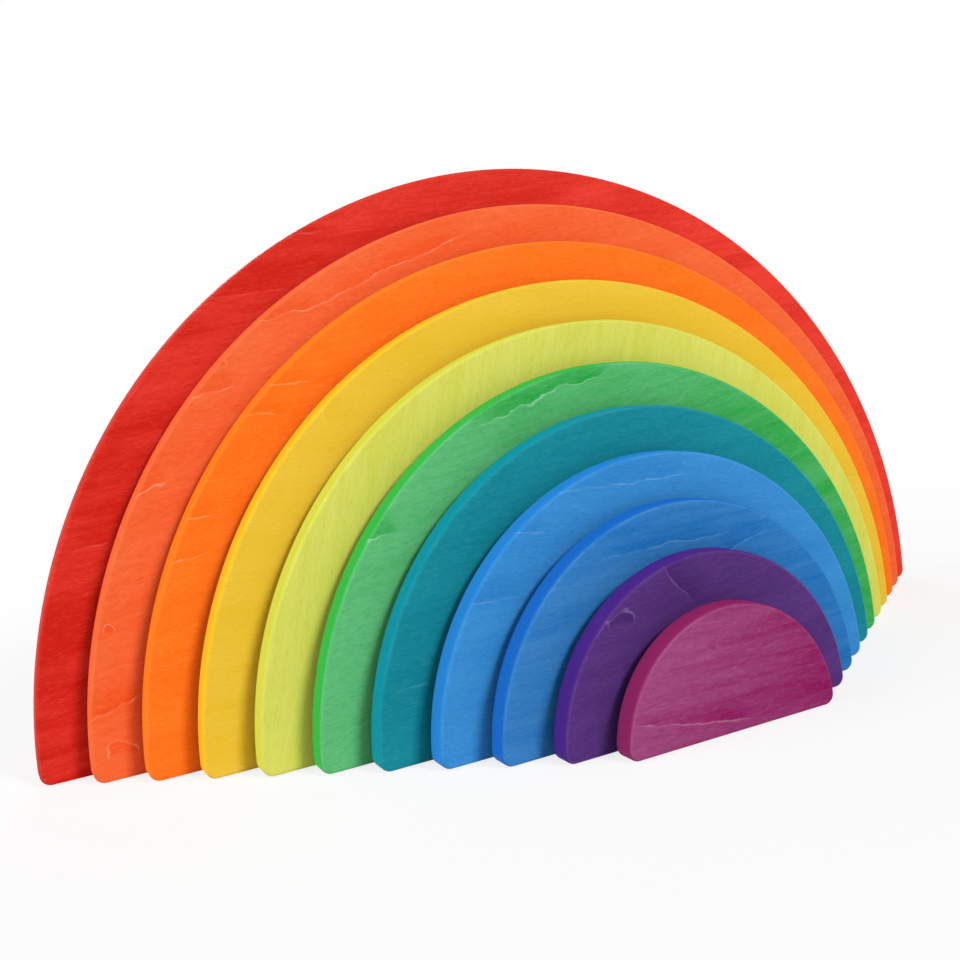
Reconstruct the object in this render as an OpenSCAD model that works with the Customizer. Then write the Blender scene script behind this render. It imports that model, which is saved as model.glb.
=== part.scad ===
// Rainbow stacker: eleven loose half-round wooden boards, graded in size,
// standing on their straight edges one behind the other, the largest at the back.
// Millimetres. X runs along the straight edges, Y runs through the pack towards
// the largest board, Z is up. The origin is on the floor, under the middle of the pack.

/* [Radii] */
// Radius of the largest board, at the back
largest_radius = 180; // [170:1:220]
// How much smaller each board is than the one behind it
radius_step = 14.25; // [11:0.05:15]

/* [Board] */
// Thickness of every board
thickness = 7.5; // [6:0.5:14]
// Round along every edge of a board
edge_round = 1.2; // [1:0.1:2.4]
// Round where the arc meets the straight edge
corner_round = 3.5; // [3:0.5:7]

/* [Pack] */
// Clearance between the faces of neighbouring boards
face_gap = 2.8; // [0.1:0.1:4]

/* [Hidden] */
board_count = 11;
pitch = thickness + face_gap;
row_half = pitch * (board_count - 1) / 2;
// How far a cutting solid runs past what it cuts
overrun = 5;
// How far a round overlaps the faces that it joins, so that they cross cleanly
blend_overlap = 0.12;
// Thickness that the straight edge and the corners are rounded to
rough_thickness = thickness + 2 * blend_overlap;
// Facets of the long arcs and of the small rounds
arc_facets = 180;
round_facets = 32;

// Boards are counted from 0 at the back
function board_radius(i) = largest_radius - radius_step * i;
function board_y(i) = row_half - pitch * i;
// Half length of the straight edge between its two corner rounds
function flat_half(r) = sqrt(pow(r - corner_round, 2) - pow(corner_round, 2));

// Half section of a rim: flat faces with both outer edges rounded
module rim_section(r, t) {
    translate([0, -t / 2]) square([r - edge_round, t]);
    translate([0, edge_round - t / 2]) square([r, t - 2 * edge_round]);
    for (side = [-1, 1])
        translate([r - edge_round, side * (t / 2 - edge_round)])
            circle(r = edge_round, $fn = round_facets);
}

// A disc standing in the XZ plane, with both edges of its rim rounded
module rounded_disc(r, t) {
    rotate([90, 0, 0]) rotate_extrude($fn = arc_facets) rim_section(r, t);
}

// Section of a standing plank, with both lower edges rounded
module plank_section(h, t) {
    translate([-t / 2, edge_round]) square([t, h - edge_round]);
    translate([edge_round - t / 2, 0]) square([t - 2 * edge_round, h]);
    for (side = [-1, 1])
        translate([side * (t / 2 - edge_round), edge_round])
            circle(r = edge_round, $fn = round_facets);
}

// The plank that a board is sawn from: it gives the straight edge and its rounds
module plank(r) {
    rotate([90, 0, 90])
        linear_extrude(height = 2 * (r + overrun), center = true)
            plank_section(r + overrun, rough_thickness);
}

// What the round takes off the right-hand corner between arc and straight edge.
// It crosses both by the named overlap, so that they meet in a clean line.
module corner_waste(r) {
    cx = flat_half(r) + blend_overlap;
    cz = corner_round - blend_overlap;
    difference() {
        translate([cx, -rough_thickness / 2 - overrun, -overrun])
            cube([r + overrun - cx, rough_thickness + 2 * overrun, cz + overrun]);
        translate([cx, 0, cz]) rounded_disc(corner_round, rough_thickness);
    }
}

// One half-round board: the disc sawn along its middle, with the two corners
// rounded, and the same edge round all along the outline
module half_round(r) {
    difference() {
        intersection() {
            rounded_disc(r, thickness);
            plank(r);
        }
        corner_waste(r);
        mirror([1, 0, 0]) corner_waste(r);
    }
}

// A board at its place in the pack
module placed(i) {
    translate([0, board_y(i), 0]) half_round(board_radius(i));
}

module red_board() { color("#d8342c") placed(0); }
module coral_board() { color("#ee6238") placed(1); }
module orange_board() { color("#f6761d") placed(2); }
module yellow_board() { color("#e6bf33") placed(3); }
module lime_board() { color("#d3d562") placed(4); }
module green_board() { color("#52b95f") placed(5); }
module teal_board() { color("#1a8494") placed(6); }
module sky_board() { color("#3f88cc") placed(7); }
module blue_board() { color("#3473b7") placed(8); }
module violet_board() { color("#5c3e7e") placed(9); }
module plum_board() { color("#9f4379") placed(10); }

red_board();
coral_board();
orange_board();
yellow_board();
lime_board();
green_board();
teal_board();
sky_board();
blue_board();
violet_board();
plum_board();
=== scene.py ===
# %% [markdown]
# A rainbow of half-round boards
# The object is a set of loose wooden boards. Each is half a disc, sawn from a plank, sanded until
# every edge is soft, and stained in one clear colour. The boards stand on their straight edges, one
# behind the other, the largest at the back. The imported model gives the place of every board, so this
# lesson only has to give each of them its sanded shape and its stained, figured wood.

# %% Load the frame
import math

import bpy
from mathutils import Matrix, Vector


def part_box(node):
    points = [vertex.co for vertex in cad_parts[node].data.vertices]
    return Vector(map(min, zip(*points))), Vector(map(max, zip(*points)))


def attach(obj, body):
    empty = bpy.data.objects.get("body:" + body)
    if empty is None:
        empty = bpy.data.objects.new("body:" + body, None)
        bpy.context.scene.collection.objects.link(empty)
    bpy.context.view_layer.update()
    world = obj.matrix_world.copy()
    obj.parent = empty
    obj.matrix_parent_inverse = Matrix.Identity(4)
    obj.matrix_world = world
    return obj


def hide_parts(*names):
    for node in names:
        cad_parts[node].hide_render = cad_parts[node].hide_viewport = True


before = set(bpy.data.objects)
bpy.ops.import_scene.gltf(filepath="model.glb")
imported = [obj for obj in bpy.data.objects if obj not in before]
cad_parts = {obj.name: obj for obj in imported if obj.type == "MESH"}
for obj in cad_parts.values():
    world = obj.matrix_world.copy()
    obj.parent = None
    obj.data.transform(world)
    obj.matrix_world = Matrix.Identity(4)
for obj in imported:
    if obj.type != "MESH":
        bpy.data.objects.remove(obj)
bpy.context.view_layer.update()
MM = 0.001
print("boards in the frame:", len(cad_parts))

# %% [markdown]
# The camera
# The photograph looks at the pack from its left end, from a little above the floor and from close by, so
# the near boards look larger. The camera was fitted to the boards' outlines in the photograph: where it
# stands, which way it faces, how far it tips down, and a small turn about its own axis.

# %% Camera
PHOTO_WIDTH = 960
SENSOR = 36.0
LENS_PIXELS = 1100.0
CAMERA_PLACE = Vector((-0.19493, -0.30081, 0.11307))
CAMERA_YAW = math.radians(26.172)
CAMERA_RISE = math.radians(-6.089)
CAMERA_ROLL = math.radians(-5.899)
CLIP_NEAR = 0.01
CLIP_FAR = 50.0

camera_data = bpy.data.cameras.new("photo_camera")
camera_data.sensor_width = SENSOR
camera_data.lens = LENS_PIXELS / PHOTO_WIDTH * SENSOR
camera_data.clip_start = CLIP_NEAR
camera_data.clip_end = CLIP_FAR
camera = bpy.data.objects.new("photo_camera", camera_data)
bpy.context.scene.collection.objects.link(camera)
forward = Vector((
    math.sin(CAMERA_YAW) * math.cos(CAMERA_RISE),
    math.cos(CAMERA_YAW) * math.cos(CAMERA_RISE),
    math.sin(CAMERA_RISE),
))
level_right = Vector((math.cos(CAMERA_YAW), -math.sin(CAMERA_YAW), 0.0))
level_up = level_right.cross(forward)
right = level_right * math.cos(CAMERA_ROLL) + level_up * math.sin(CAMERA_ROLL)
up = level_up * math.cos(CAMERA_ROLL) - level_right * math.sin(CAMERA_ROLL)
turn = Matrix((right, up, -forward)).transposed()
camera.matrix_world = Matrix.Translation(CAMERA_PLACE) @ turn.to_4x4()
bpy.context.scene.camera = camera
bpy.context.scene.view_settings.view_transform = "Standard"
print("lens in millimetres:", round(camera_data.lens, 1))

# %% [markdown]
# Measures of a board
# Every board has the same thickness and the same soft edge. The frame gives each board's own box, and
# the box's height is the board's radius.

# %% Board measures
BOARDS = ["red", "coral", "orange", "yellow", "lime", "green",
          "teal", "sky", "blue", "violet", "plum"]
EDGE_ROUND = 1.2 * MM
CORNER_ROUND = 3.5 * MM
ARC_STEPS = 256
CORNER_STEPS = 10
EDGE_STEPS = 6
ROUND_PROFILE = 0.5
QUARTER_TURN = math.radians(90)
SMOOTH_ANGLE = math.radians(40)
MERGE_REACH = 0.01 * MM
TINY = 0.1 * MM
LOW_ARC_SPARE = 1 * MM


def board_measures(name):
    low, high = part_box(name + "_board")
    return {
        "x": (low[0] + high[0]) / 2,
        "y": (low[1] + high[1]) / 2,
        "radius": high[2] - low[2],
        "thickness": high[1] - low[1],
    }


measures = {name: board_measures(name) for name in BOARDS}
for name in BOARDS:
    print(name, {key: round(value / MM, 2) for key, value in measures[name].items()})

# %% [markdown]
# Sawing and sanding a board
# A maker turns a disc, saws it through the middle, rounds the two corners, and then sands every edge. The
# same steps work here: a cylinder is laid on its side and bisected along the floor. The short facets next
# to the floor are dissolved, because a bevel can't reach past the edge that it slides along. Then the two
# corner edges are bevelled wide, and the outline of both faces is bevelled small. The bevel keeps its width
# round the arc, the corners and the straight edge alike, which is what a sanding wheel does.

# %% Board shape
def select_edges(mesh, wanted):
    bpy.ops.object.mode_set(mode="EDIT")
    bpy.ops.mesh.select_mode(type="EDGE")
    bpy.ops.mesh.select_all(action="DESELECT")
    bpy.ops.object.mode_set(mode="OBJECT")
    count = 0
    for edge in mesh.edges:
        a = mesh.vertices[edge.vertices[0]].co
        b = mesh.vertices[edge.vertices[1]].co
        edge.select = bool(wanted(a, b))
        count += edge.select
    bpy.ops.object.mode_set(mode="EDIT")
    return count


def saw_board(name):
    m = measures[name]
    bpy.ops.object.select_all(action="DESELECT")
    bpy.ops.mesh.primitive_cylinder_add(
        vertices=ARC_STEPS, radius=m["radius"], depth=m["thickness"],
        location=(m["x"], m["y"], 0.0), rotation=(QUARTER_TURN, 0.0, 0.0))
    board = bpy.context.object
    board.name = name + "_half_round"
    bpy.ops.object.transform_apply(location=True, rotation=True, scale=True)
    bpy.ops.object.mode_set(mode="EDIT")
    bpy.ops.mesh.select_all(action="SELECT")
    bpy.ops.mesh.bisect(
        plane_co=(0.0, 0.0, 0.0), plane_no=(0.0, 0.0, 1.0),
        use_fill=True, clear_inner=True, clear_outer=False)
    bpy.ops.mesh.select_all(action="SELECT")
    bpy.ops.mesh.remove_doubles(threshold=MERGE_REACH)
    bpy.ops.object.mode_set(mode="OBJECT")
    half_thickness = m["thickness"] / 2

    def low_arc(a, b):
        return abs(a.y - b.y) > half_thickness and TINY < a.z < CORNER_ROUND + LOW_ARC_SPARE

    select_edges(board.data, low_arc)
    bpy.ops.mesh.dissolve_edges(use_verts=True)
    bpy.ops.object.mode_set(mode="OBJECT")

    def corner(a, b):
        return a.z < TINY and b.z < TINY and abs(a.y - b.y) > half_thickness

    corners = select_edges(board.data, corner)
    bpy.ops.mesh.bevel(
        offset=CORNER_ROUND, segments=CORNER_STEPS, profile=ROUND_PROFILE,
        affect="EDGES", clamp_overlap=False)
    bpy.ops.object.mode_set(mode="OBJECT")

    def outline(a, b):
        return abs(a.y - b.y) < TINY and abs(abs(a.y - m["y"]) - half_thickness) < TINY

    outlines = select_edges(board.data, outline)
    bpy.ops.mesh.bevel(
        offset=EDGE_ROUND, segments=EDGE_STEPS, profile=ROUND_PROFILE,
        affect="EDGES", clamp_overlap=False)
    bpy.ops.mesh.select_all(action="SELECT")
    bpy.ops.mesh.normals_make_consistent(inside=False)
    bpy.ops.object.mode_set(mode="OBJECT")
    bpy.ops.object.shade_smooth_by_angle(angle=SMOOTH_ANGLE)
    weigh = board.modifiers.new("flat_faces", "WEIGHTED_NORMAL")
    weigh.keep_sharp = True
    bpy.ops.object.modifier_apply(modifier="flat_faces")
    print(board.name, "corners", corners, "outline edges", outlines, "faces", len(board.data.polygons))
    return board


boards = {name: saw_board(name) for name in BOARDS}

# %% [markdown]
# Stained wood
# The boards are a pale, close-grained wood under a thin water stain. Three things show on the photograph:
# fine fibres that run along the plank, a few wandering pale lines where the saw cut across the growth
# rings at a flat angle, and broad patches where the wood took up more or less stain. Each is a node group,
# so that every board can use it with its own values.

# %% Group helpers
def new_group(name, inputs, outputs):
    group = bpy.data.node_groups.new(name, "ShaderNodeTree")
    for label, kind, value in inputs:
        socket = group.interface.new_socket(name=label, in_out="INPUT", socket_type=kind)
        if value is not None:
            socket.default_value = value
    for label, kind in outputs:
        group.interface.new_socket(name=label, in_out="OUTPUT", socket_type=kind)
    start = group.nodes.new("NodeGroupInput")
    end = group.nodes.new("NodeGroupOutput")
    start.location = (-1200, 0)
    end.location = (900, 0)
    return group, start, end


def add_math(tree, operation, a, b=None, clamp=False):
    node = tree.nodes.new("ShaderNodeMath")
    node.operation = operation
    node.use_clamp = clamp
    for index, value in enumerate((a, b)):
        if value is None:
            continue
        if isinstance(value, (int, float)):
            node.inputs[index].default_value = value
        else:
            tree.links.new(value, node.inputs[index])
    return node.outputs[0]


def add_remap(tree, value, low, high, to_low=0.0, to_high=1.0):
    node = tree.nodes.new("ShaderNodeMapRange")
    node.interpolation_type = "SMOOTHSTEP"
    node.clamp = True
    tree.links.new(value, node.inputs["Value"])
    node.inputs["From Min"].default_value = low
    node.inputs["From Max"].default_value = high
    node.inputs["To Min"].default_value = to_low
    node.inputs["To Max"].default_value = to_high
    return node.outputs["Result"]


def add_noise(tree, vector, scale, detail=3.0, rough=0.5, warp=0.0):
    node = tree.nodes.new("ShaderNodeTexNoise")
    node.inputs["Scale"].default_value = scale
    node.inputs["Detail"].default_value = detail
    node.inputs["Roughness"].default_value = rough
    node.inputs["Distortion"].default_value = warp
    tree.links.new(vector, node.inputs["Vector"])
    return node.outputs["Fac"]


def add_stretch(tree, vector, scale):
    node = tree.nodes.new("ShaderNodeVectorMath")
    node.operation = "MULTIPLY"
    tree.links.new(vector, node.inputs[0])
    node.inputs[1].default_value = scale
    return node.outputs[0]


def add_mix(tree, factor, a, b):
    node = tree.nodes.new("ShaderNodeMix")
    node.data_type = "RGBA"
    for socket, value in ((node.inputs[0], factor), (node.inputs[6], a), (node.inputs[7], b)):
        if isinstance(value, (int, float, tuple)):
            socket.default_value = value
        else:
            tree.links.new(value, socket)
    return node.outputs[2]


# %% [markdown]
# Fibres
# Wood fibres are long and thin, so a fine noise is stretched along the plank: a fibre is two or three
# millimetres long and half a millimetre high. Its high parts are pale fibres and its low parts are pores,
# which hold more stain. A second, longer set makes thin streaks, and a slow one makes soft bands.

# %% Fibre group
FIBRE_STRETCH = (0.22, 0.5, 1.0)
FIBRE_SCALE = 1900.0
FIBRE_LIMITS = (0.50, 0.78)
PORE_LIMITS = (0.24, 0.48)
STREAK_STRETCH = (0.07, 0.4, 1.0)
STREAK_SCALE = 520.0
STREAK_LIMITS = (0.32, 0.70)
MOTTLE_STRETCH = (0.18, 0.6, 1.0)
MOTTLE_SCALE = 75.0
MOTTLE_LIMITS = (0.32, 0.68)


def make_fibre_group():
    group, start, end = new_group(
        "plank_fibres",
        [("Place", "NodeSocketVector", None)],
        [("Fibres", "NodeSocketFloat"), ("Pores", "NodeSocketFloat"), ("Streaks", "NodeSocketFloat"),
         ("Mottle", "NodeSocketFloat")])
    place = start.outputs["Place"]
    along_fibre = add_stretch(group, place, FIBRE_STRETCH)
    fine = add_noise(group, along_fibre, FIBRE_SCALE, detail=2.0, rough=0.65)
    group.links.new(add_remap(group, fine, *FIBRE_LIMITS), end.inputs["Fibres"])
    group.links.new(add_remap(group, fine, *PORE_LIMITS, to_low=1.0, to_high=0.0), end.inputs["Pores"])
    along_streak = add_stretch(group, place, STREAK_STRETCH)
    streak = add_noise(group, along_streak, STREAK_SCALE, detail=3.0, rough=0.6, warp=0.2)
    group.links.new(add_remap(group, streak, *STREAK_LIMITS), end.inputs["Streaks"])
    along_mottle = add_stretch(group, place, MOTTLE_STRETCH)
    mottle = add_noise(group, along_mottle, MOTTLE_SCALE, detail=4.0, rough=0.62, warp=0.5)
    group.links.new(add_remap(group, mottle, *MOTTLE_LIMITS), end.inputs["Mottle"])
    return group


fibre_group = make_fibre_group()

# %% [markdown]
# Figure
# A plank is cut nearly level with the growth rings, so a ring shows on the face as a pale line at a small
# angle to the fibres. Three noises bend it: a slow one makes it wander, and two finer ones make it ragged.
# The line is sharp, the wood above it is a little darker and fades back, and both end where the ring dips
# into the plank. Where a ring only just reaches the face, it shows as an open loop, an eye.

# %% Figure groups
WANDER = 5 * MM
WANDER_STRETCH = (0.5, 0.3, 1.0)
WANDER_SCALE = 40.0
SHORE = 4 * MM
SHORE_STRETCH = (0.7, 0.5, 1.0)
SHORE_SCALE = 210.0
FRAY = 1 * MM
FRAY_STRETCH = (0.5, 0.5, 1.0)
FRAY_SCALE = 800.0
NOISE_MIDDLE = 0.5
MARK_REACH = 10 * MM
BREAK_SCALE = 120.0
BREAK_LIMITS = (0.36, 0.62)
SHADE_REACH = 13 * MM
LINE_WIDTH = 0.45 * MM
END_SHARE = 0.5
FAINT_SHARE = 0.15
EYE_BEND_SHARE = 1.3
EYE_DEPTH_SHARE = 0.8


def add_swing(tree, noise, swing):
    return add_math(tree, "MULTIPLY", add_math(tree, "SUBTRACT", noise, NOISE_MIDDLE), swing)


def make_bend_group():
    group, start, end = new_group(
        "ring_bend",
        [("Place", "NodeSocketVector", None), ("Ragged", "NodeSocketFloat", 1.0)],
        [("Bend", "NodeSocketFloat")])
    place = start.outputs["Place"]
    slow_place = add_stretch(group, place, WANDER_STRETCH)
    slow = add_noise(group, slow_place, WANDER_SCALE, detail=1.0, rough=0.4)
    shore_place = add_stretch(group, place, SHORE_STRETCH)
    shore = add_noise(group, shore_place, SHORE_SCALE, detail=1.0, rough=0.5)
    fray_place = add_stretch(group, place, FRAY_STRETCH)
    fray = add_noise(group, fray_place, FRAY_SCALE, detail=1.0, rough=0.5)
    rough_shore = add_math(group, "ADD", add_swing(group, shore, SHORE), add_swing(group, fray, FRAY))
    ragged = add_math(group, "MULTIPLY", rough_shore, start.outputs["Ragged"])
    group.links.new(add_math(group, "ADD", add_swing(group, slow, WANDER), ragged), end.inputs["Bend"])
    return group


def make_mark_group():
    group, start, end = new_group(
        "ring_mark",
        [("Place", "NodeSocketVector", None), ("Level", "NodeSocketFloat", 0.0),
         ("Along", "NodeSocketFloat", 0.0), ("Reach", "NodeSocketFloat", MARK_REACH)],
        [("Line", "NodeSocketFloat"), ("Shade", "NodeSocketFloat")])
    level = start.outputs["Level"]
    away = add_math(group, "ABSOLUTE", start.outputs["Along"])
    gone = add_math(group, "DIVIDE", away, start.outputs["Reach"])
    kept = add_remap(group, gone, END_SHARE, 1.0, to_low=1.0, to_high=0.0)
    line = add_remap(group, add_math(group, "ABSOLUTE", level), 0.0, LINE_WIDTH, to_low=1.0, to_high=0.0)
    patches = add_noise(group, start.outputs["Place"], BREAK_SCALE, detail=2.0, rough=0.6)
    broken = add_remap(group, patches, *BREAK_LIMITS, to_low=FAINT_SHARE)
    group.links.new(add_math(group, "MULTIPLY", line, add_math(group, "MULTIPLY", kept, broken)),
                    end.inputs["Line"])
    above = add_remap(group, level, 0.0, LINE_WIDTH)
    fading = add_remap(group, level, 0.0, SHADE_REACH, to_low=1.0, to_high=0.0)
    shade = add_math(group, "MULTIPLY", above, fading)
    group.links.new(add_math(group, "MULTIPLY", shade, kept), end.inputs["Shade"])
    return group


bend_group = make_bend_group()
mark_group = make_mark_group()

# %% [markdown]
# Painted rim light and edge highlight
# The rim gets a colour of its own, brighter and more saturated than the face: painted light, as a rim
# looks when it is lit from the side while the face carries a pale sheen. The rounded edges get a thin
# painted highlight, broken up by a noise like light wear. The face's normal points along the pack and the
# rim's does not, so the normal tells the two apart, and the band between them is the rounded edge.

# %% Rim group
RIM_LIMITS = (0.35, 0.9)
EDGE_START = (0.55, 0.8)
EDGE_STOP = (0.9, 0.995)
WEAR_SCALE = 90.0
WEAR_LIMITS = (0.3, 0.7)


def make_rim_group():
    group, start, end = new_group(
        "rim_and_edge",
        [("Place", "NodeSocketVector", None), ("Normal", "NodeSocketVector", None)],
        [("Rim", "NodeSocketFloat"), ("Edge", "NodeSocketFloat")])
    split = group.nodes.new("ShaderNodeSeparateXYZ")
    group.links.new(start.outputs["Normal"], split.inputs[0])
    facing = add_math(group, "ABSOLUTE", split.outputs["Y"])
    group.links.new(add_remap(group, facing, *RIM_LIMITS, to_low=1.0, to_high=0.0), end.inputs["Rim"])
    inner = add_remap(group, facing, *EDGE_START)
    outer = add_remap(group, facing, *EDGE_STOP, to_low=1.0, to_high=0.0)
    band = add_math(group, "MULTIPLY", inner, outer)
    # The edge band is a painted highlight along the rounded edge, broken up by a noise like light wear.
    wear = add_noise(group, start.outputs["Place"], WEAR_SCALE, detail=3.0, rough=0.6)
    rubbed_and_highlit = add_math(group, "MULTIPLY", band, add_remap(group, wear, *WEAR_LIMITS))
    group.links.new(rubbed_and_highlit, end.inputs["Edge"])
    return group


rim_group = make_rim_group()

# %% [markdown]
# One finish for each board
# The stain is written as two colours, where it is thin and where it is deep, with a third, brighter and
# more saturated, that paints light on the rim, and a pale one for bare lines, which also paints a highlight
# along the sanded edges. Each board then says how strongly its figure and streaks show, how much painted
# shade deepens the stain toward one side of it, leaving the other side paler as under a sheen, how far its
# grain is turned, and where on the plank it was cut. A ring mark is written as its tilt in degrees, its
# middle, along the board and above the floor, and how far it reaches to either side. An eye is written as
# its middle and its two half sizes. Both are in millimetres. Two boards also set how strongly their broad
# patches or their pale fibres show.

# %% Stain values
STAINS = {
    "red": dict(
        thin="e23c2e", deep="c61e0e", rim="e0301e", line="ee8076", figure=0.28, streak=0.25, side_shading=-0.40,
        turn=6, seed=(0.13, 0.0, 0.41), ragged=0.5, mottle=0.6,
        marks=[(4, -100, 142, 20), (7, -83, 159, 14), (5, -150, 70, 16)], eyes=[]),
    "coral": dict(
        thin="ec6a38", deep="e8521a", rim="fb7038", line="fab294", figure=0.60, streak=0.15, side_shading=0.0,
        turn=9, seed=(1.37, 0.0, 0.22), ragged=0.8,
        marks=[(11, -93, 134.5, 18), (18, -51, 146.5, 36), (9, -118, 112, 11), (13, -157, 22, 9),
               (44, -138, 96, 6), (13, -140, 85, 8)],
        eyes=[(-117, 121, 6, 4), (-157, 8.5, 3.4, 3), (-156, 45.5, 1.6, 2.2)]),
    "orange": dict(
        thin="f6771c", deep="f46604", rim="fd8414", line="fcb67c", figure=0.45, streak=0.15, side_shading=0.0,
        turn=5, seed=(2.11, 0.0, 1.73), ragged=0.5,
        marks=[(1, -97, 112, 10), (7, -132.5, 64, 9), (-3, -106.5, 104, 12), (3, -119.5, 86.5, 9),
               (0, -128, 76, 7)],
        eyes=[]),
    "yellow": dict(
        thin="e6bd3a", deep="e1b21c", rim="fbc61a", line="f3de90", figure=0.35, streak=0.20, side_shading=0.0,
        turn=-3, seed=(0.67, 0.0, 2.95), ragged=0.8, marks=[(-81, -89, 102.5, 6)], eyes=[]),
    "lime": dict(
        thin="d8d664", deep="cdca46", rim="d4dc4a", line="e8e69a", figure=0.15, streak=0.30, side_shading=0.0,
        turn=74, seed=(3.19, 0.0, 0.87), ragged=0.6, marks=[], eyes=[]),
    "green": dict(
        thin="5cb674", deep="229e3a", rim="2cb844", line="acdeb4", figure=0.80, streak=0.18, side_shading=0.45,
        turn=10, seed=(4.43, 0.0, 1.31), ragged=1.1,
        marks=[(12.6, -24, 101, 30), (1, -84.5, 66, 8)], eyes=[]),
    "teal": dict(
        thin="128894", deep="067888", rim="0694aa", line="64b8c2", figure=0.30, streak=0.25, side_shading=0.0,
        turn=3, seed=(0.91, 0.0, 3.77), ragged=0.5,
        marks=[(1, -9, 94.5, 11), (3, -82.5, 22, 7)], eyes=[]),
    "sky": dict(
        thin="3a8ecc", deep="2a7cc0", rim="2688dc", line="8ec2ee", figure=0.45, streak=0.20, side_shading=0.0,
        turn=-2, seed=(5.03, 0.0, 0.59), ragged=0.5,
        marks=[(-0.5, -15.5, 73, 33), (-8, -47, 63.5, 9), (-2, -60, 45, 10)], eyes=[]),
    "blue": dict(
        thin="387ebc", deep="1a6cb2", rim="146ac6", line="7cb8e2", figure=0.45, streak=0.40, side_shading=0.25,
        turn=2, seed=(1.79, 0.0, 4.21), ragged=0.6,
        marks=[(15.6, 24, 50, 10), (0, -4.5, 54, 26)], eyes=[]),
    "violet": dict(
        thin="58347c", deep="442264", rim="4a2286", line="a082bc", figure=0.55, streak=0.15, side_shading=0.0,
        turn=6, seed=(2.83, 0.0, 2.47), ragged=0.9, fleck=0.05,
        marks=[(-58, -10.5, 46, 12)], eyes=[(-29.5, 37, 4.6, 3.6)]),
    "plum": dict(
        thin="984476", deep="860e56", rim="8e1e5e", line="cc98b6", figure=0.50, streak=0.30, side_shading=0.60,
        turn=0, seed=(3.61, 0.0, 3.05), ragged=0.4,
        marks=[(-8, -17, 6.5, 26)], eyes=[]),
}


def linear(hex_colour):
    parts = [int(hex_colour[i:i + 2], 16) / 255 for i in (0, 2, 4)]
    bent = [p / 12.92 if p <= 0.04045 else ((p + 0.055) / 1.055) ** 2.4 for p in parts]
    return (bent[0], bent[1], bent[2], 1.0)


def darker(colour, share):
    return (colour[0] * share, colour[1] * share, colour[2] * share, 1.0)


# %% Stained wood material
MOTTLE_SHARE = 0.45
SHADE_SHARE = 0.8
LINE_SHARE = 0.7
FLECK_SHARE = 0.10
PORE_SHARE = 0.35
PORE_DEPTH = 0.75
RIM_LIGHT_SHARE = 0.90
EDGE_HIGHLIGHT_SHARE = 0.08
ROUGH_LOW = 0.60
ROUGH_HIGH = 0.72
WOOD_SPECULAR = 0.08
BUMP_STRENGTH = 0.10
BUMP_DEPTH = 0.1 * MM


def place_group(tree, group):
    node = tree.nodes.new("ShaderNodeGroup")
    node.node_tree = group
    return node


def add_dot(tree, vector, along_x, along_z):
    node = tree.nodes.new("ShaderNodeVectorMath")
    node.operation = "DOT_PRODUCT"
    tree.links.new(vector, node.inputs[0])
    node.inputs[1].default_value = (along_x, 0.0, along_z)
    return node.outputs["Value"]


def add_mark(tree, point, bend, tilt, x, z, reach):
    cosine = math.cos(math.radians(tilt))
    sine = math.sin(math.radians(tilt))
    level_there = (z * cosine - x * sine) * MM
    along_there = (x * cosine + z * sine) * MM
    level = add_math(tree, "SUBTRACT", add_dot(tree, point, -sine, cosine), level_there)
    along = add_math(tree, "SUBTRACT", add_dot(tree, point, cosine, sine), along_there)
    mark = place_group(tree, mark_group)
    tree.links.new(add_math(tree, "ADD", level, bend), mark.inputs["Level"])
    tree.links.new(along, mark.inputs["Along"])
    tree.links.new(point, mark.inputs["Place"])
    mark.inputs["Reach"].default_value = reach * MM
    return mark


def add_eye(tree, point, bend, x, z, half_x, half_z):
    from_middle = tree.nodes.new("ShaderNodeVectorMath")
    from_middle.operation = "SUBTRACT"
    tree.links.new(point, from_middle.inputs[0])
    from_middle.inputs[1].default_value = (x * MM, 0.0, z * MM)
    scaled = add_stretch(tree, from_middle.outputs[0], (half_z / half_x, 0.0, 1.0))
    length = tree.nodes.new("ShaderNodeVectorMath")
    length.operation = "LENGTH"
    tree.links.new(scaled, length.inputs[0])
    inside = add_math(tree, "SUBTRACT", half_z * MM, length.outputs["Value"])
    mark = place_group(tree, mark_group)
    eye_bend = add_math(tree, "MULTIPLY", bend, EYE_BEND_SHARE)
    tree.links.new(add_math(tree, "ADD", inside, eye_bend), mark.inputs["Level"])
    below_top = add_math(tree, "SUBTRACT", (z + half_z) * MM, add_dot(tree, point, 0.0, 1.0))
    tree.links.new(below_top, mark.inputs["Along"])
    tree.links.new(point, mark.inputs["Place"])
    mark.inputs["Reach"].default_value = 2 * half_z * EYE_DEPTH_SHARE * MM
    return mark


def add_figure(tree, point, bend, stain):
    marks = [add_mark(tree, point, bend, *values) for values in stain["marks"]]
    marks += [add_eye(tree, point, bend, *values) for values in stain["eyes"]]
    line = shade = 0.0
    for mark in marks:
        line = add_math(tree, "MAXIMUM", mark.outputs["Line"], line)
        shade = add_math(tree, "MAXIMUM", mark.outputs["Shade"], shade)
    return line, shade


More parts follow.
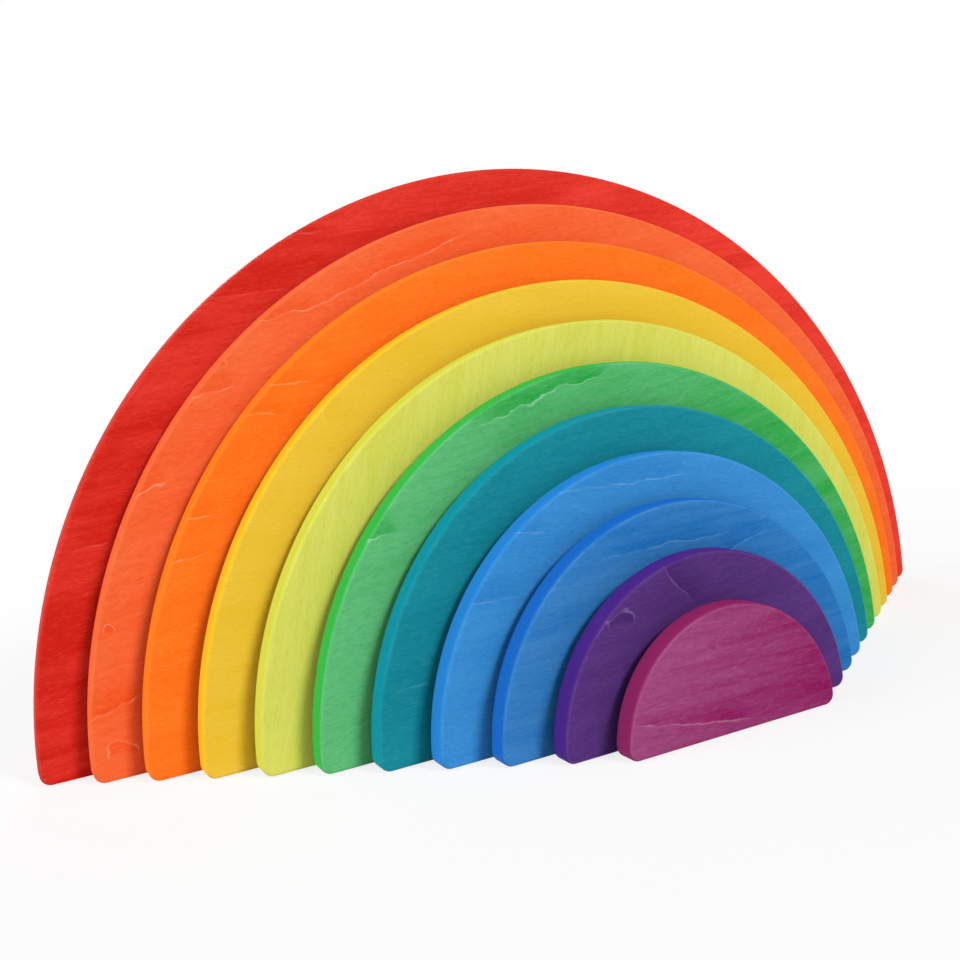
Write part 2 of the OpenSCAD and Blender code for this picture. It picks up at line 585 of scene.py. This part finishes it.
def stained_wood(name):
    stain = STAINS[name]
    m = measures[name]
    material = bpy.data.materials.new(name + "_stained_wood")
    material.use_nodes = True
    tree = material.node_tree
    shader = tree.nodes["Principled BSDF"]
    coordinate = tree.nodes.new("ShaderNodeTexCoord")
    mapping = tree.nodes.new("ShaderNodeMapping")
    mapping.inputs["Location"].default_value = stain["seed"]
    mapping.inputs["Rotation"].default_value = (0.0, math.radians(stain["turn"]), 0.0)
    tree.links.new(coordinate.outputs["Object"], mapping.inputs["Vector"])
    place = mapping.outputs["Vector"]

    fibres = place_group(tree, fibre_group)
    tree.links.new(place, fibres.inputs["Place"])
    bend = place_group(tree, bend_group)
    tree.links.new(place, bend.inputs["Place"])
    bend.inputs["Ragged"].default_value = stain["ragged"]
    line, shade = add_figure(tree, coordinate.outputs["Object"], bend.outputs["Bend"], stain)
    rim = place_group(tree, rim_group)
    tree.links.new(place, rim.inputs["Place"])
    tree.links.new(coordinate.outputs["Normal"], rim.inputs["Normal"])

    split = tree.nodes.new("ShaderNodeSeparateXYZ")
    tree.links.new(coordinate.outputs["Object"], split.inputs[0])
    # Painted shade and sheen: the stain deepens toward one side of the board, leaving the other side paler.
    across = add_math(tree, "MULTIPLY", split.outputs["X"], stain["side_shading"] / m["radius"])
    uptake_and_side_shading = add_math(tree, "MULTIPLY", fibres.outputs["Mottle"], stain.get("mottle", MOTTLE_SHARE))
    uptake_and_side_shading = add_math(tree, "ADD", uptake_and_side_shading, across)
    banded = add_math(tree, "MULTIPLY", shade, stain["figure"] * SHADE_SHARE)
    streaked = add_math(tree, "MULTIPLY", fibres.outputs["Streaks"], stain["streak"])
    uptake_and_side_shading = add_math(tree, "ADD", add_math(tree, "ADD", uptake_and_side_shading, banded), streaked, clamp=True)
    colour = add_mix(tree, uptake_and_side_shading, linear(stain["thin"]), linear(stain["deep"]))
    pale = add_math(tree, "MULTIPLY", line, stain["figure"] * LINE_SHARE)
    colour = add_mix(tree, pale, colour, linear(stain["line"]))
    fleck = add_math(tree, "MULTIPLY", fibres.outputs["Fibres"], stain.get("fleck", FLECK_SHARE))
    colour = add_mix(tree, fleck, colour, linear(stain["line"]))
    pore = add_math(tree, "MULTIPLY", fibres.outputs["Pores"], PORE_SHARE)
    colour = add_mix(tree, pore, colour, darker(linear(stain["deep"]), PORE_DEPTH))
    # Painted light: the rim gets a brighter, more saturated colour than the face.
    rim_share = add_math(tree, "MULTIPLY", rim.outputs["Rim"], RIM_LIGHT_SHARE)
    colour = add_mix(tree, rim_share, colour, linear(stain["rim"]))
    # Painted highlight: a pale line along the rounded edges.
    edge_highlight_share = add_math(tree, "MULTIPLY", rim.outputs["Edge"], EDGE_HIGHLIGHT_SHARE)
    colour = add_mix(tree, edge_highlight_share, colour, linear(stain["line"]))
    tree.links.new(colour, shader.inputs["Base Color"])

    rough = add_remap(tree, fibres.outputs["Streaks"], 0.0, 1.0, to_low=ROUGH_LOW, to_high=ROUGH_HIGH)
    tree.links.new(rough, shader.inputs["Roughness"])
    shader.inputs["Specular IOR Level"].default_value = WOOD_SPECULAR
    relief = add_math(tree, "SUBTRACT", fibres.outputs["Fibres"], fibres.outputs["Pores"])
    bump = tree.nodes.new("ShaderNodeBump")
    bump.inputs["Strength"].default_value = BUMP_STRENGTH
    bump.inputs["Distance"].default_value = BUMP_DEPTH
    tree.links.new(relief, bump.inputs["Height"])
    tree.links.new(bump.outputs["Normal"], shader.inputs["Normal"])
    print(material.name, "on a board of radius", round(m["radius"] / MM, 1))
    return material


for name, board in boards.items():
    board.data.materials.clear()
    board.data.materials.append(stained_wood(name))
    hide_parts(name + "_board")
    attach(board, name)

# %% [markdown]
# Floor and light
# A photographer would set the pack on white paper under a large soft light at the right, so that each
# board throws a soft shadow to its left on the one behind it. A second light, at the left and level with
# the pack's faces, reaches the rims there and keeps them bright, and a third does the same for the back. The
# floor shows white to the camera and to reflections, but still takes the pack's shadow near the boards.

# %% Floor
def add_seen(tree):
    path = tree.nodes.new("ShaderNodeLightPath")
    seen_or_mirrored = add_math(tree, "ADD", path.outputs["Is Camera Ray"], path.outputs["Is Glossy Ray"])
    return add_math(tree, "ADD", seen_or_mirrored, path.outputs["Is Transmission Ray"], clamp=True)


FLOOR_SIZE = 6.0
FLOOR_DROP = 0.2 * MM
PAPER_COLOUR = (0.9, 0.9, 0.9, 1.0)
PAPER_ROUGH = 0.9
PAPER_SPECULAR = 0.1
WHITE = (1.0, 1.0, 1.0, 1.0)
NEAR_GLOW = 0.80
NEAR_REACH = 0.20
FAR_REACH = 0.60

bpy.ops.object.select_all(action="DESELECT")
bpy.ops.mesh.primitive_plane_add(size=FLOOR_SIZE, location=(0.0, 0.0, -FLOOR_DROP))
floor = bpy.context.object
floor.name = "paper_floor"
paper = bpy.data.materials.new("white_paper")
paper.use_nodes = True
paper_tree = paper.node_tree
paper_shader = paper_tree.nodes["Principled BSDF"]
paper_shader.inputs["Base Color"].default_value = PAPER_COLOUR
paper_shader.inputs["Roughness"].default_value = PAPER_ROUGH
paper_shader.inputs["Specular IOR Level"].default_value = PAPER_SPECULAR
glow = paper_tree.nodes.new("ShaderNodeEmission")
glow.inputs["Color"].default_value = WHITE
glow.inputs["Strength"].default_value = 1.0
paper_seen = add_seen(paper_tree)
paper_place = paper_tree.nodes.new("ShaderNodeTexCoord")
paper_far = paper_tree.nodes.new("ShaderNodeVectorMath")
paper_far.operation = "LENGTH"
paper_tree.links.new(paper_place.outputs["Object"], paper_far.inputs[0])
paper_glow = add_remap(paper_tree, paper_far.outputs["Value"], NEAR_REACH, FAR_REACH, to_low=NEAR_GLOW)
paper_share = add_math(paper_tree, "MULTIPLY", paper_seen, paper_glow)
paper_mix = paper_tree.nodes.new("ShaderNodeMixShader")
paper_tree.links.new(paper_share, paper_mix.inputs[0])
paper_tree.links.new(paper_shader.outputs[0], paper_mix.inputs[1])
paper_tree.links.new(glow.outputs[0], paper_mix.inputs[2])
paper_tree.links.new(paper_mix.outputs[0], paper_tree.nodes["Material Output"].inputs["Surface"])
floor.data.materials.append(paper)

# %% World
FILL_STRENGTH = 0.26
world = bpy.data.worlds.new("white_room")
bpy.context.scene.world = world
world.use_nodes = True
room = world.node_tree
backdrop = room.nodes["Background"]
output = room.nodes["World Output"]
seen = add_seen(room)
fill = room.nodes.new("ShaderNodeBackground")
fill.inputs["Color"].default_value = WHITE
fill.inputs["Strength"].default_value = FILL_STRENGTH
backdrop.inputs["Color"].default_value = WHITE
backdrop.inputs["Strength"].default_value = 1.0
chosen = room.nodes.new("ShaderNodeMixShader")
room.links.new(seen, chosen.inputs[0])
room.links.new(fill.outputs[0], chosen.inputs[1])
room.links.new(backdrop.outputs[0], chosen.inputs[2])
room.links.new(chosen.outputs[0], output.inputs["Surface"])

# %% Lamps
PACK_MIDDLE = Vector((0.0, 0.0, 0.08))
LAMPS = {
    "right_window": dict(place=(0.62, -1.75, 1.30), side=0.55, power=33.0),
    "left_rim_card": dict(place=(-1.45, 0.10, 0.90), side=0.9, power=15.0),
    "back_card": dict(place=(0.50, 1.80, 0.70), side=0.9, power=17.0),
}


def soft_light(name, place, side, power):
    data = bpy.data.lights.new(name, "AREA")
    data.shape = "RECTANGLE"
    data.size = side
    data.size_y = side
    data.energy = power
    lamp = bpy.data.objects.new(name, data)
    bpy.context.scene.collection.objects.link(lamp)
    lamp.location = place
    lamp.rotation_euler = (PACK_MIDDLE - Vector(place)).to_track_quat("-Z", "Y").to_euler()


for name, lamp_values in LAMPS.items():
    soft_light(name, **lamp_values)
